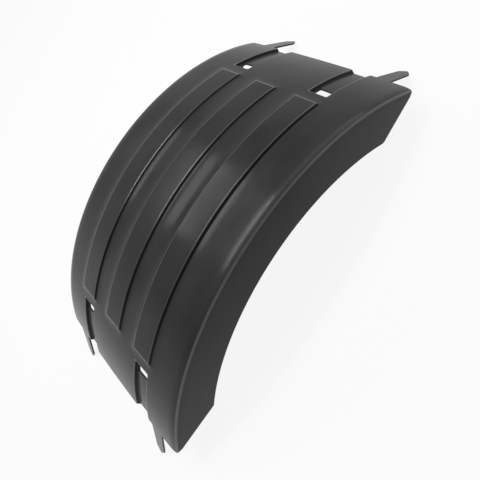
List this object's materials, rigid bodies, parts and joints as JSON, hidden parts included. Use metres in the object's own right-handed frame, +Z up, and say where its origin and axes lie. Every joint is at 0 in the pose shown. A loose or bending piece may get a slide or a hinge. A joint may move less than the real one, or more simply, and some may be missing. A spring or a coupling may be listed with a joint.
{
  "type": "truck mudguard",
  "caption": "Arched one-piece plastic truck mudguard with plain side skirts raked at their ends, raised bands along the top, and slotted end grooves and pointed fixing tongues at both ends.",
  "frame": {"origin": "on the floor under the middle of the guard's box, with the guard standing on its four tongue tips", "axes": "+Z up through the top of the arch, X along the arch from front end to rear end, Y across the guard, along the wheel's axle line"},
  "size_m": [0.9958, 0.4644, 0.263],
  "materials": {
    "black_plastic": "satin moulded polyethylene"
  },
  "bodies": {
    "root": {"mudguard": "black_plastic"}
  },
  "joints": []
}
